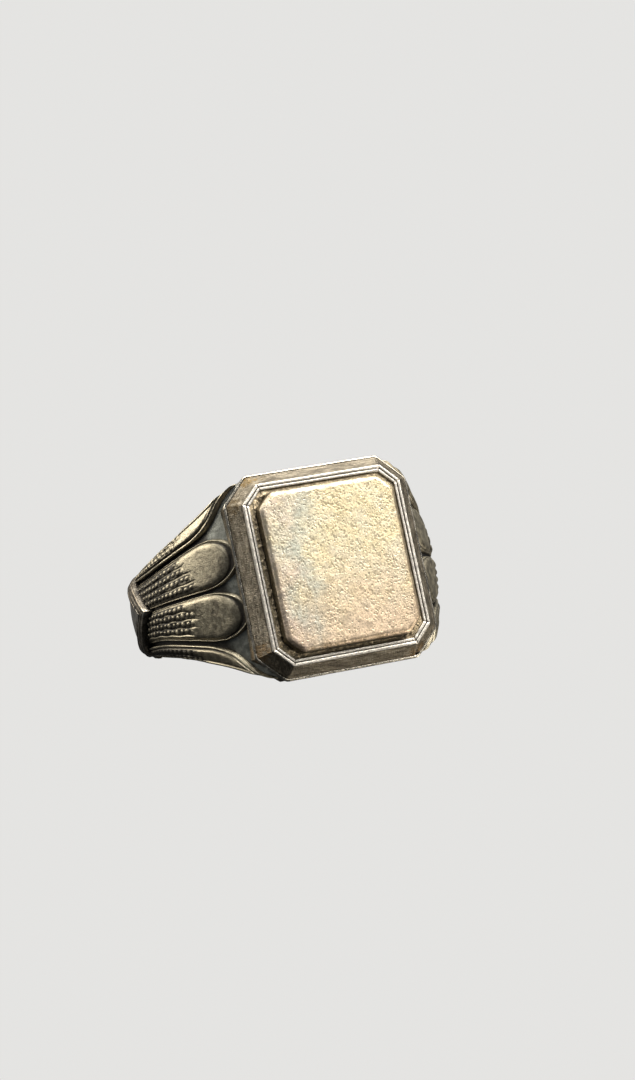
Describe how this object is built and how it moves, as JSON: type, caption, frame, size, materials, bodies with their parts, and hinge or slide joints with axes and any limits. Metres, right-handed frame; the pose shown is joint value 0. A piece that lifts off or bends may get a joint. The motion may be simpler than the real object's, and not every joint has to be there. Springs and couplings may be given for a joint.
{
  "type": "signet ring",
  "caption": "Man's signet ring with a cut-cornered raised gilt plate in a reeded silver bezel, on flared shoulders of beaded petals tied by a pointed strap.",
  "frame": {"origin": "centre of the finger hole, on its axis, level with the middle of the signet head", "axes": "+Z along the finger, the signet plate faces -Y, the left shoulder is at -X"},
  "size_m": [0.0244, 0.0243, 0.0156],
  "materials": {
    "silver": "oxidised sterling silver, satin with dark recesses",
    "bright_silver": "polished silver, lightly tarnished",
    "gilt": "worn pale gilt, finely pitted"
  },
  "bodies": {
    "root": {"lining_band": "silver", "shank": "silver", "head_box": "silver", "foot_wire": "silver", "bezel_rim": "bright_silver", "tray": "silver", "signet_plate": "gilt", "left_shoulder": "silver", "left_strap": "silver", "left_upper_front_petal": "silver", "left_upper_side_petal": "silver", "left_lower_front_petal": "silver", "left_lower_side_petal": "silver", "right_shoulder": "silver", "right_strap": "silver", "right_upper_front_petal": "silver", "right_upper_side_petal": "silver", "right_lower_front_petal": "silver", "right_lower_side_petal": "silver"}
  },
  "joints": []
}
